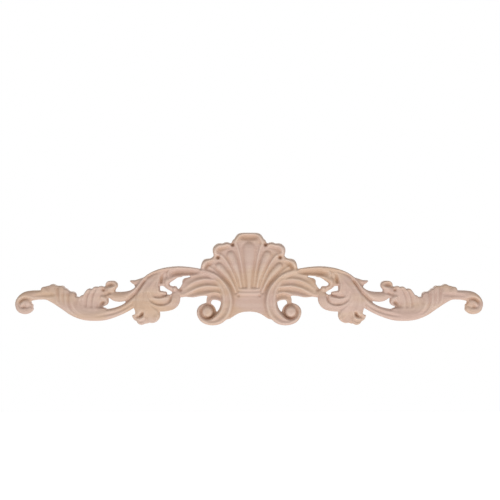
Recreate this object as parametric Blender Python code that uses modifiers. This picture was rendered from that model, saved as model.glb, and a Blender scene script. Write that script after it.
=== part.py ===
"""Pierced and carved wooden onlay: a shell between two scrolls, with a leafy stem to each side.

The length runs along X and Z is up. The carved face looks towards -Y, and the flat back that is
glued to the furniture lies on the plane y = 0. The origin is the middle of the back.
"""
import math

import bmesh
import bpy
import numpy as np

# Main sizes, in metres
LENGTH = 0.600
THICKNESS = 0.018
# height of the plain side wall, from the back to where the carving starts
WALL = 0.0048
# distance over which the carving rolls down to the wall
ROLL = 0.0036
# distance between the samples of the carved face
SAMPLE = 0.0011
# triangles left on one half of the carved face
HALF_FACE_TRIANGLES = 4080

# The carving is drawn on a sheet 600 units long, with its highest point 18 units above the back.
# All rows below are in these units, so they are shares of the length and of the thickness.
SHEET_LENGTH = 600.0
SHEET_HEIGHT = 18.0
UNIT = LENGTH / SHEET_LENGTH
RISE = THICKNESS / SHEET_HEIGHT
# the sheet's origin lies this far under the middle of the carving's box
SHEET_MIDDLE = 0.6
# half the sheet: the other half is its mirror image
SHEET_RIGHT = 303.0
SHEET_BOTTOM = -64.0
SHEET_TOP = 64.0
# value of the mask where nothing has been drawn
NOTHING = -50.0
# how far around a stroke the samples are looked at
MARGIN = 3.0
# reach of the rounding of the outline's corners
CORNER_REACH = 0.8
# curve steps between two control rows
CURVE_STEPS = 8
TINY = 1e-9
WELD = 0.00002

WOOD = (0.63, 0.42, 0.31, 1.0)


class Sheet:
    """Grid of samples with the carved height and a mask that is positive inside the outline."""

    def __init__(self, step):
        self.step = step
        self.x = np.arange(0.0, SHEET_RIGHT, step)
        self.z = np.arange(SHEET_BOTTOM, SHEET_TOP, step)
        self.grid_x, self.grid_z = np.meshgrid(self.x, self.z, indexing="ij")
        self.height = np.zeros(self.grid_x.shape)
        self.mask = np.full(self.grid_x.shape, NOTHING)

    def window(self, low, high):
        """Slices of the grid that cover a box."""
        first_x = max(0, int(low[0] / self.step) - 1)
        last_x = max(0, int(high[0] / self.step) + 2)
        first_z = max(0, int((low[1] - SHEET_BOTTOM) / self.step) - 1)
        last_z = max(0, int((high[1] - SHEET_BOTTOM) / self.step) + 2)
        return slice(first_x, last_x), slice(first_z, last_z)


def smooth_curve(rows):
    """Curve through rows of numbers, with CURVE_STEPS steps between two rows."""
    given = np.asarray(rows, float)
    before = 2 * given[0] - given[1]
    after = 2 * given[-1] - given[-2]
    given = np.vstack([before, given, after])
    share = np.linspace(0, 1, CURVE_STEPS, endpoint=False)[:, None]
    pieces = []
    for a, b, c, d in zip(given, given[1:], given[2:], given[3:]):
        bend = (2 * a - 5 * b + 4 * c - d) * share**2
        twist = (3 * b - a - 3 * c + d) * share**3
        pieces.append(0.5 * (2 * b + (c - a) * share + bend + twist))
    pieces.append(given[-2][None])
    return np.vstack(pieces)


def follow(sheet, rows):
    """Where the samples lie along a stroke.

    Gives the window, the last value at the nearest place on the stroke, the depth inside the
    stroke's border and the position across it, from -1 at its right side to 1 at its left.
    """
    line = smooth_curve(rows)
    reach = line[:, 2].max() + MARGIN
    window = sheet.window(line[:, :2].min(0) - reach, line[:, :2].max(0) + reach)
    x = sheet.grid_x[window]
    z = sheet.grid_z[window]
    depth = np.full(x.shape, NOTHING)
    width = np.ones(x.shape)
    value = np.zeros(x.shape)
    side = np.ones(x.shape)
    for start, end in zip(line, line[1:]):
        run_x, run_z = end[:2] - start[:2]
        off_x = x - start[0]
        off_z = z - start[1]
        share = np.clip((off_x * run_x + off_z * run_z) / (run_x**2 + run_z**2 + TINY), 0, 1)
        here_width = start[2] + (end[2] - start[2]) * share
        distance = np.hypot(off_x - share * run_x, off_z - share * run_z)
        here = here_width - distance > depth
        depth = np.where(here, here_width - distance, depth)
        width = np.where(here, here_width, width)
        value = np.where(here, start[3] + (end[3] - start[3]) * share, value)
        side = np.where(here, np.where(run_x * off_z < run_z * off_x, -1.0, 1.0), side)
    width = np.maximum(width, 0.05)
    across = side * np.clip((width - depth) / width, 0, 1)
    return window, value, depth, across


def round_profile(across):
    return np.sqrt(np.clip(1 - across**2, 0, 1))


def flat_profile(across):
    return np.sqrt(np.clip(1 - across**4, 0, 1))


def hollow_profile(across):
    """Two raised borders with a shallow channel between them."""
    border = 0.72
    away = np.abs(across)
    channel = 1 - 0.45 * (1 - (away / border) ** 2)
    fall = np.sqrt(np.clip(1 - ((away - border) / (1 - border)) ** 2, 0, 1))
    return np.where(away < border, channel, fall)


def leaf_profile(across):
    """Rises from the left side to a lip near the right side, as the lobe of a leaf does."""
    lip = 0.75
    low = 0.35
    soft = 0.85
    right = -across
    rise = np.clip((right + 1) / (1 + lip), 0, 1)
    slope = low * (1 - rise) + rise**1.8
    edge = np.sqrt(np.clip(1 - ((-soft - right) / (1 - soft)) ** 2, 0, 1))
    slope = np.where(right < -soft, slope * edge, slope)
    fall = np.sqrt(np.clip(1 - ((right - lip) / (1 - lip)) ** 2, 0, 1))
    return np.where(right < lip, slope, fall)


def leaf_profile_other(across):
    return leaf_profile(-across)


def blend(first, second, softness):
    """The higher of two heights, with the crease between them softened."""
    share = np.clip(0.5 + 0.5 * (first - second) / softness, 0, 1)
    return second + (first - second) * share + softness * share * (1 - share)


def stroke(sheet, rows, edge, profile=round_profile, on_top=False):
    """Carve a raised stroke along rows of (x, z, half width, height at the crown).

    The stroke starts at the height of its edge. On top, it replaces what it covers.
    """
    window, crown, depth, across = follow(sheet, rows)
    raised = edge + (crown - edge) * profile(across)
    old = sheet.height[window]
    if on_top:
        share = np.clip(depth, 0, 1)
        new = old + (raised - old) * share * share * (3 - 2 * share)
    else:
        new = np.where(old > 0, blend(old, raised, 0.6), raised)
    sheet.height[window] = np.where(depth > 0, new, old)
    sheet.mask[window] = np.maximum(sheet.mask[window], depth)


def floor(sheet, rows, height):
    """Low ground between the raised strokes, along rows of (x, z, half width)."""
    stroke(sheet, [(x, z, width, height) for x, z, width in rows], height - 0.5, flat_profile)


def groove(sheet, rows, deepest):
    """Cut a rounded groove along rows of (x, z, half width, share of the depth)."""
    window, share, depth, across = follow(sheet, rows)
    sheet.height[window] -= deepest * share * (1 - across**2) ** 1.5


def cut(sheet, rows):
    """Take a slot out of the outline, along rows of (x, z, half width, 0)."""
    window, value, depth, across = follow(sheet, rows)
    sheet.mask[window] = np.minimum(sheet.mask[window], -depth)


def knob(sheet, x, z, radius, height, edge):
    stroke(sheet, [(x, z, radius, height), (x + 0.01, z, radius, height)], edge)


def hole(sheet, x, z, radius, deepest):
    groove(sheet, [(x, z, radius, 1), (x + 0.01, z, radius, 1)], deepest)


def ring_groove(sheet, x, z, radius, half_width, deepest):
    turn = np.linspace(0, 2 * math.pi, 13)
    groove(sheet, [(x + radius * math.cos(a), z + radius * math.sin(a), half_width, 1) for a in turn],
           deepest)


def inside_distance(sheet, outline):
    """Distance to a closed outline, positive inside it, over the window around it."""
    corners = np.asarray(outline, float)
    window = sheet.window(corners.min(0) - MARGIN, corners.max(0) + MARGIN)
    x = sheet.grid_x[window]
    z = sheet.grid_z[window]
    nearest = np.full(x.shape, 1e9)
    inside = np.zeros(x.shape, bool)
    for (ax, az), (bx, bz) in zip(corners, np.roll(corners, -1, axis=0)):
        run_x = bx - ax
        run_z = bz - az
        share = np.clip(((x - ax) * run_x + (z - az) * run_z) / (run_x**2 + run_z**2 + TINY), 0, 1)
        nearest = np.minimum(nearest, np.hypot(x - ax - share * run_x, z - az - share * run_z))
        if az != bz:
            inside ^= ((az > z) != (bz > z)) & (x < run_x * (z - az) / run_z + ax)
    return window, np.where(inside, nearest, -nearest)


def shell_plate(sheet):
    """The shell's plate, with its lobed outline. It rises from the root to the lobes."""
    middle_lobe = [(0, 60.3), (9.5, 60.2), (13.4, 59.2), (16, 57.2), (17.2, 54.4), (19.4, 52.2),
                   (21.5, 50.2), (22.4, 47.4)]
    second_lobe = [(23.2, 46.6), (26, 47.4), (29.4, 48.2), (31.8, 47.6), (34, 46.6), (37, 46.9),
                   (40.6, 46.4), (44, 44), (46.3, 40), (46.9, 35.6), (45.6, 31)]
    third_lobe = [(46, 29.8), (48.6, 27.8), (51, 27.2), (54, 27), (57.6, 26), (60.4, 22.6), (61.9, 17.6),
                  (62.4, 14.6), (61.5, 12)]
    lower_edge = [(40, 0), (30, -30), (33, -50), (25.5, -51), (20, -47.7), (15, -44.6), (10, -42.7),
                  (5, -41.8), (0, -41.5)]
    outline = []
    for part in (middle_lobe, second_lobe, third_lobe, lower_edge):
        outline.extend(smooth_curve(part).tolist())
    outline.extend([(-5, -41.5), (-5, 60)])
    window, depth = inside_distance(sheet, outline)
    x = sheet.grid_x[window]
    z = sheet.grid_z[window]
    from_root = np.hypot(x, z + 20)
    ground = 8.6 + 4.2 * np.clip((from_root - 8) / 62, 0, 1) ** 1.2
    ground -= 3.0 * np.clip((x - 18 - np.clip(z + 10, 0, 99) * 0.9) / 14, 0, 1)
    dish = np.cos(np.clip(x / 20, 0, 1) * math.pi / 2) * np.clip((-18 - z) / 8, 0, 1)
    ground = np.where(z < -18, 9.2 - dish, ground)
    inside = depth > 0
    sheet.height[window] = np.where(inside, np.maximum(sheet.height[window], ground), sheet.height[window])
    sheet.mask[window] = np.maximum(sheet.mask[window], depth)


def shell_rims(sheet):
    """Rolled rims of the lobes and the ridges that run from them down to the root."""
    stroke(sheet, [(0, 58.2, 1.9, 15.4), (8, 58.0, 2.0, 16.2), (12.6, 56.4, 2.8, 17.4),
                   (15.4, 52.6, 3.0, 17), (17.2, 48, 2.8, 16), (16.5, 43.5, 2.3, 14.5)], 11)
    stroke(sheet, [(24.5, 43.6, 2.2, 14.5), (28, 45, 3.2, 16.5), (32.6, 43.6, 2.9, 16),
                   (38, 43.2, 3.6, 17), (42.2, 40.2, 4.0, 17.5), (43.2, 35.8, 3.6, 16.8),
                   (41.4, 32.4, 2.5, 15)], 10)
    stroke(sheet, [(46.6, 25.6, 2.0, 14), (50.5, 24.4, 2.6, 15), (55.2, 22.8, 3.6, 16.5),
                   (58.3, 18.6, 3.4, 16), (58, 14.5, 2.6, 13)], 9.5)
    stroke(sheet, [(15.6, 44, 2.4, 15.2), (13.4, 36, 1.6, 14.6), (11.4, 27, 1.2, 13.6),
                   (9.8, 18, 1.0, 12.8), (8.0, 6, 0.9, 11.6), (6.4, -8, 0.8, 10.4)], 9.5)
    stroke(sheet, [(36, 31.5, 2.2, 15), (32, 27, 2.0, 14.4), (26.5, 19, 1.6, 13.4),
                   (21.5, 9.5, 1.3, 12.4), (17.2, -1, 1.2, 11.4), (14.2, -10, 1.0, 10.4)], 9.5)
    floor(sheet, [(59, 14.6, 2.4), (53, 13, 2.8), (47, 10.6, 2.6), (41, 7, 2.2)], 11.2)
    stroke(sheet, [(51.6, 16.4, 1.8, 12.8), (46.4, 13.4, 1.9, 12.2), (39.6, 8, 1.6, 11.4),
                   (31.5, 0, 1.3, 10.6), (24.5, -9, 1.1, 10), (19.5, -17, 1.0, 9.6)], 8.6)


def shell_tongues(sheet):
    """A middle tongue and two tongues to each side. Each stands in a shallow groove."""
    middle = [(0, 40.4, 8.8, 14.8), (0, 32, 7.9, 14.6), (0, 20, 6.4, 14), (0, 5, 4.6, 12.6),
              (0, -9.5, 3.4, 10.8)]
    inner = [(23.4, 31.8, 5.7, 14.8), (19.7, 23.4, 5.3, 14.4), (16, 13, 4.3, 13.4), (12.9, 3, 3.3, 12),
             (10.4, -8.5, 2.3, 10.5)]
    outer = [(38.8, 17.2, 5.0, 14.2), (33.6, 12, 4.7, 13.8), (27.8, 5, 3.9, 12.8), (23, -2.4, 3.1, 11.8),
             (19, -10.5, 2.2, 10.8), (16.8, -16, 1.5, 10)]
    for rows in (middle, inner, outer):
        groove(sheet, [(x, z, width + 2.4, 1) for x, z, width, crown in rows], 3.0)
    for rows in (middle, inner, outer):
        stroke(sheet, rows, 9.8, round_profile, True)


def shell_root(sheet):
    """Two bands under the tongues, the hollows under the rims and the drilled holes."""
    for level, half_width in ((-12.8, 2.0), (-17.6, 2.1)):
        band = [(0, level, half_width, 10.4), (8, level, half_width, 10.4), (13.5, level + 0.5, 1.4, 10.1)]
        stroke(sheet, band, 9.3)
    groove(sheet, [(0, -20.8, 0.9, 0.7), (10, -20.8, 1, 0.9), (15, -20.8, 1, 1)], 0.9)
    groove(sheet, [(0, 53.4, 4.6, 1), (6, 53.6, 4.2, 0.85), (11, 54, 3, 0.25)], 3.6)
    groove(sheet, [(25, 41, 2.2, 0.6), (31, 40.4, 3.0, 0.9), (37, 38.4, 3.2, 1), (39.2, 34.6, 2.6, 0.7)],
           1.3)
    groove(sheet, [(44, 22.5, 2.2, 0.6), (49, 20.8, 3.0, 0.9), (53, 18.2, 3.0, 1), (54.6, 15, 2.2, 0.7)],
           1.5)
    hole(sheet, 39.8, 28.4, 2.6, 7)
    hole(sheet, 21.2, 44.8, 2.6, 8)
    hole(sheet, 56.6, 15.6, 2.2, 3)
    hole(sheet, 13.6, -20.8, 1.8, 2.6)


def side_scroll(sheet):
    """The C-shaped scroll beside the shell, with the bead and the hollow along it."""
    stroke(sheet, [(62, 10.9, 2.4, 12.5), (51, 7.2, 3.4, 13), (42, 1.8, 5, 13.5), (34.4, -6, 6.2, 14),
                   (29.4, -17, 7.4, 14.5), (28.4, -29, 7.8, 14.5), (31.2, -40.6, 8.0, 14.2),
                   (38.6, -49.8, 7.6, 14), (49, -53.9, 5.2, 13.6), (58.4, -51.2, 4.6, 13.4),
                   (63.5, -44, 3.8, 13.2), (62.8, -37.4, 3.2, 13), (57.8, -33.4, 2.6, 12.6),
                   (52, -33, 2, 11.5)], 6.5, flat_profile, True)
    stroke(sheet, [(60, 12, 1.2, 13.5), (50, 9.2, 1.5, 14.6), (41, 4.6, 1.8, 15.4), (33, -3.4, 1.9, 16),
                   (26.4, -13, 2, 16.2), (23.2, -24, 2.1, 16.2), (23.8, -35, 2.2, 16),
                   (27.8, -45, 2.3, 15.4), (33.8, -52, 2.2, 14.8), (42, -56, 2.0, 14.2),
                   (51, -56.6, 1.8, 13.8), (59.3, -53, 1.6, 13.4)], 10)
    groove(sheet, [(46, 4.6, 1.0, 0.3), (37, -3, 2.0, 0.6), (30.6, -13, 2.8, 1), (28.4, -25, 3.2, 1),
                   (29.4, -36, 3.2, 1), (34, -45, 3.0, 1), (41.4, -51.2, 2.4, 0.9), (50, -53, 1.8, 0.7),
                   (57, -50, 1.4, 0.5)], 1.8)


def scroll_eye(sheet):
    knob(sheet, 54.2, -42.1, 12, 8.8, 7.5)
    ring_groove(sheet, 53.4, -40.8, 8.8, 2.3, 4.8)
    knob(sheet, 53.4, -40.8, 7.2, 14.8, 9)


def wing(sheet):
    """Four long leaf lobes that spread from the scroll under the arched stem."""
    floor(sheet, [(40, -8, 6), (55, -6, 10), (70, -9, 10), (80, -13, 6)], 7.5)
    floor(sheet, [(37, -19, 3), (42, -19.5, 2.5), (51, -18.8, 2.6), (60, -17.5, 3.4)], 8)
    floor(sheet, [(76, 0, 6), (81, -3, 5)], 7.5)
    floor(sheet, [(82, -18, 4.4), (86, -19.6, 3.6)], 7.5)
    stroke(sheet, [(30, -9, 2, 12), (38, -1.5, 3.2, 13.4), (47, 2.2, 4.2, 13.8), (58, 3.2, 4.8, 13.8),
                   (69, 1.2, 5.4, 13.4), (78, -3.6, 5.2, 12.6), (84, -9.6, 3.8, 10.5)], 8.5, leaf_profile)
    stroke(sheet, [(28.5, -16, 2, 12.5), (36, -9, 3.2, 13.8), (45, -6.4, 4.0, 14.4), (56, -6, 4.4, 14.4),
                   (67, -8.2, 5, 14), (77, -12.6, 5.2, 13), (85, -17.6, 3.6, 11)], 8.5, leaf_profile)
    stroke(sheet, [(29, -24, 2, 12.5), (36, -17, 3, 13.4), (44, -14.2, 3.6, 13.6),
                   (54, -15.2, 5.2, 13.4), (64, -16.8, 5, 12.8), (72, -18.7, 4.6, 12),
                   (80, -19.4, 3.2, 10.5)], 8, leaf_profile)
    stroke(sheet, [(32, -28.5, 2.4, 11.5), (38.5, -23.6, 3.8, 12.4), (46.4, -22, 4.4, 12.4),
                   (50.8, -25, 3.8, 11.6), (52.2, -31.5, 2.6, 10)], 7, leaf_profile)
    ribs = (
        [(42, 1.4, 0.7, 0.4), (54, 3.6, 1.0, 1), (66, 2.4, 1.0, 1), (76, -2.2, 0.8, 0.5)],
        [(40, -7.6, 0.7, 0.4), (52, -5.0, 1.0, 1), (64, -6.6, 1.0, 1), (76, -11.6, 0.8, 0.5)],
        [(40, -16, 0.7, 0.4), (50, -14, 1.0, 1), (62, -15.6, 1.0, 1), (73, -18.4, 0.8, 0.5)],
    )
    for rows in ribs:
        groove(sheet, rows, 1.3)
    # the opening under the arm runs out to a thin slit over the wing
    cut(sheet, [(85, 2.6, 1.4, 0), (80.4, 3.3, 1.1, 0), (76, 3.9, 0.8, 0)])


def arm(sheet):
    """The hollow arm over the wing. Its end curls back to a small ball."""
    floor(sheet, [(104, 10, 4), (112, 4, 5), (112, -3.6, 5)], 10.5)
    floor(sheet, [(86, -12, 3.2), (89, -16, 3.6)], 6)
    floor(sheet, [(95.4, -19.4, 3.2), (97, -24, 3)], 6)
    stroke(sheet, [(110, -5.4, 2.4, 9.5), (104, -9.8, 3, 9.5), (99, -12.2, 3.4, 9.5),
                   (93.5, -15.6, 4, 9.5), (89, -19.5, 4, 9)], 6)
    stroke(sheet, [(58, 9.5, 2.5, 11), (66, 9.8, 4.4, 12), (76, 9.4, 6.4, 13), (88, 9.6, 6.8, 13.5),
                   (99, 7.6, 6.8, 13.5)], 7, hollow_profile)
    stroke(sheet, [(84, 10, 2.6, 8), (92, 7.6, 4.6, 10.5), (99, 3.6, 5.2, 13), (104.6, -1.4, 4.4, 14),
                   (105.4, -6.4, 2.8, 12.6), (101, -10.4, 2.2, 11), (96, -11, 2.4, 10.5)], 7)
    groove(sheet, [(65, 7.6, 2.2, 0.3), (75, 8.4, 4.2, 0.9), (87, 8.4, 4.8, 1), (97, 6.6, 4.2, 0.9),
                   (103.4, 1.6, 2.6, 0.3)], 3.2)
    knob(sheet, 95.4, -11.6, 3.4, 12.4, 7)
    ring_groove(sheet, 95.4, -11.6, 3.6, 0.8, 1.6)


def big_leaf(sheet):
    """The large leaf, with lobes that fan out from under the arched stem."""
    floor(sheet, [(133, -22, 8), (122, -28, 8), (110, -27, 6), (102, -25, 5), (97, -21, 4)], 9.6)
    floor(sheet, [(117.5, -6, 3), (119, -12, 4.6)], 7)
    stroke(sheet, [(110, 8, 4, 12), (119, 2, 7.5, 12.5), (126.6, -8, 11, 13), (133, -20, 12.5, 13),
                   (136.5, -31, 10, 12.5), (137.4, -42, 7.5, 12)], 7.5, flat_profile)
    floor(sheet, [(135, -30, 8), (128, -42, 12), (130, -45.4, 10.6)], 9)
    stroke(sheet, [(137, -8, 1.5, 12.5), (144, -20, 2.6, 13.4), (146, -31, 3.2, 13),
                   (143.6, -40, 3.0, 12), (143.4, -46, 3.4, 11), (147, -47.8, 2.8, 10.5),
                   (149.6, -46.2, 1.0, 9)], 8, leaf_profile_other)
    stroke(sheet, [(132, -4, 2, 13), (140, -17, 3.4, 14), (142, -30, 4.6, 14), (139.4, -42, 5.4, 13),
                   (138, -52, 6.6, 12)], 8, flat_profile)
    floor(sheet, [(141, -51, 4), (145.4, -49.6, 3.4)], 9)
    stroke(sheet, [(127, -2, 2, 13.4), (135.6, -14, 3.6, 14.4), (137, -27, 5.6, 14.4),
                   (131, -38, 8.4, 13.8), (124.6, -45.8, 10.4, 12.8)], 8, leaf_profile)
    stroke(sheet, [(122, 1, 2, 13.6), (131, -10, 3.4, 14.8), (134, -21, 4.2, 15), (130, -30, 4.6, 14.8),
                   (120, -35.8, 4.6, 14.2), (109, -36.5, 4.9, 13.6), (98.4, -32.6, 6.0, 13),
                   (94, -25.8, 5.6, 12.5), (94.4, -20.4, 3.8, 11)], 9.4, leaf_profile)
    stroke(sheet, [(118, 3.4, 1.6, 13.4), (126, -5.6, 3, 14.8), (129.4, -15, 3.6, 15),
                   (126, -23.4, 3.8, 14.6), (117, -27, 4.2, 13.8), (109, -26.2, 4.4, 13),
                   (104.6, -23.2, 3, 12.4), (104, -20.6, 1.6, 11)], 10.4, leaf_profile)
    stroke(sheet, [(116.4, 3.4, 1.4, 12.6), (119.8, -4, 3.4, 14.2), (120.2, -11, 5, 14.6),
                   (117.2, -17, 3.8, 14), (111.6, -17.6, 2.8, 13.2), (107.6, -17.8, 2.4, 12)],
           10.4, leaf_profile)
    groove(sheet, [(106.4, -19, 0.9, 0.6), (109.8, -21, 1.3, 1), (116.4, -22.4, 1.4, 1),
                   (123.4, -21.8, 1.4, 0.9), (128.6, -17.6, 1.1, 0.4)], 1.5)
    groove(sheet, [(100.4, -21.4, 1.2, 0.8), (100.8, -26.4, 1.6, 1), (105, -30.4, 1.7, 1),
                   (112, -32, 1.7, 1), (120, -31, 1.5, 0.7), (127, -26.6, 1.1, 0.3)], 2.6)
    floor(sheet, [(129, -49.6, 6), (132, -51, 6)], 8)
    groove(sheet, [(131.5, -43, 0.8, 0.3), (131.6, -48, 1.2, 0.8), (131, -54, 1.2, 0.8),
                   (130.6, -58, 1, 0.6)], 1.6)
    # the drilled eye of the leaf, with a bud under it
    groove(sheet, [(136.6, -42.4, 1.7, 0.7), (137.4, -45, 2.4, 1), (140.4, -47.2, 1.8, 0.8),
                   (143.6, -47.4, 1.6, 0.6)], 8)
    groove(sheet, [(133.6, -51, 1, 0.8), (137.6, -54, 1.3, 1), (144, -52.6, 1, 0.8)], 2.4)
    knob(sheet, 137.6, -50.2, 2.4, 13, 9.5)


def arched_stem(sheet):
    """The thin stem that arches over the leaf, with a sprout, and ends in a curled cap."""
    floor(sheet, [(114, 9, 3), (124, 5.6, 3.6), (131, 0.6, 4), (136.5, -6.4, 4), (142.6, -14.6, 4)], 11.5)
    groove(sheet, [(108, 11.4, 1.0, 0.1), (116, 10.4, 1.3, 0.4), (123.4, 7.7, 1.6, 0.7),
                   (130.8, 2.8, 1.8, 0.9), (136.3, -4.8, 2.1, 1), (142.2, -13.2, 2.2, 1),
                   (149, -20.6, 2.2, 1), (153.8, -25, 2, 0.9), (157.5, -28.2, 1.6, 0.6)], 4.4)
    floor(sheet, [(151, -23, 3), (155.6, -27.4, 3)], 6.5)
    floor(sheet, [(141.4, -4, 3), (144.6, -7, 2.9)], 7)
    stroke(sheet, [(64, 12.8, 1.4, 12.4), (76, 14.4, 1.8, 13.4), (91, 15.1, 2.2, 14),
                   (104, 14.2, 2.0, 14.4), (114.2, 12.2, 1.8, 14.2), (124, 8.9, 1.4, 13.8),
                   (131.9, 3.9, 1.5, 13.4), (138.4, -3.3, 2.1, 13.2), (144.6, -11.5, 2.6, 13),
                   (151.3, -17.3, 3.8, 12.6), (160, -21.6, 6.2, 12.4), (170, -22.2, 6.4, 12.4),
                   (177, -19.8, 4.8, 12)], 7)
    stroke(sheet, [(132, 1.8, 2.2, 11), (139.6, -1.2, 2.6, 10.8), (146, -3.7, 3.1, 10),
                   (150.4, -2.7, 1.9, 9.2), (153, -1.7, 0.8, 8)], 6.5)
    groove(sheet, [(109, 9.4, 0.9, 0.3), (111.4, 5.4, 1.8, 0.9), (112.6, 0.6, 2.3, 1),
                   (113, -3.6, 1.9, 0.8)], 4.5)
    stroke(sheet, [(176.8, -12, 5.4, 12), (178.4, -19, 5, 11.5)], 7.5)
    stroke(sheet, [(174.6, -7.4, 6.0, 14.2), (178.8, -7.4, 5.9, 14.2)], 8)
    groove(sheet, [(172.6, -6.6, 2, 0.4), (176.6, -6.6, 3.6, 1), (181, -7.4, 3.8, 1),
                   (184.6, -9.2, 2.4, 0.6)], 6.4)
    groove(sheet, [(176.4, -17, 1.5, 0.6), (180, -17.6, 2.4, 1), (184, -19.4, 1.8, 0.6)], 3.8)


def main_stem(sheet):
    """The heavy lower stem, from the leaf to the curl at the end of the carving."""
    stroke(sheet, [(133, -10, 5, 12.5), (142, -20, 6, 12.5), (150.4, -30.4, 6.2, 12.5),
                   (160, -37.2, 5.8, 12.5), (172, -42.2, 6.2, 12.5), (186, -45.5, 7.2, 13),
                   (200, -46.5, 7, 13), (213, -44.5, 7.5, 13), (224.6, -38.6, 8.6, 13),
                   (235.6, -30.8, 8.8, 12.5), (247, -23.6, 8.6, 12.5), (258, -20, 6.8, 12.5),
                   (268, -19.9, 6.2, 12.5), (278, -20.6, 6.6, 12.5), (287, -22.8, 6.9, 12.6),
                   (293.2, -29.2, 6.5, 12.6), (292.3, -36.8, 6.2, 12.4), (286, -39.8, 5, 12),
                   (281.4, -37.8, 4.2, 11.6)], 6, flat_profile)
    groove(sheet, [(150, -31, 1.2, 0.6), (160, -37.6, 1.8, 1), (172, -42.4, 2.2, 1),
                   (184, -45.2, 2.0, 0.8), (194, -46.4, 1.4, 0.3)], 2.0)
    groove(sheet, [(276, -26.2, 1.2, 0.3), (282, -25, 2.2, 0.8), (288.4, -24.9, 2.6, 1),
                   (293.2, -28.2, 2.8, 1), (294, -32.6, 2.4, 0.5), (291.2, -35.2, 2.2, 0.6),
                   (286.6, -34.4, 2.3, 1), (282, -33.8, 1.9, 0.7), (279, -32.6, 1.2, 0.2)], 4.8)
    knob(sheet, 284.8, -30.2, 5, 12.2, 8.8)
    floor(sheet, [(280.4, -33.6, 3), (281, -35, 3)], 9.5)
    # where the stem leaves the leaf
    groove(sheet, [(149.6, -28.6, 1.2, 0.4), (149.2, -32, 1.7, 1), (148.6, -35.4, 1.3, 0.7)], 2.6)


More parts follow.
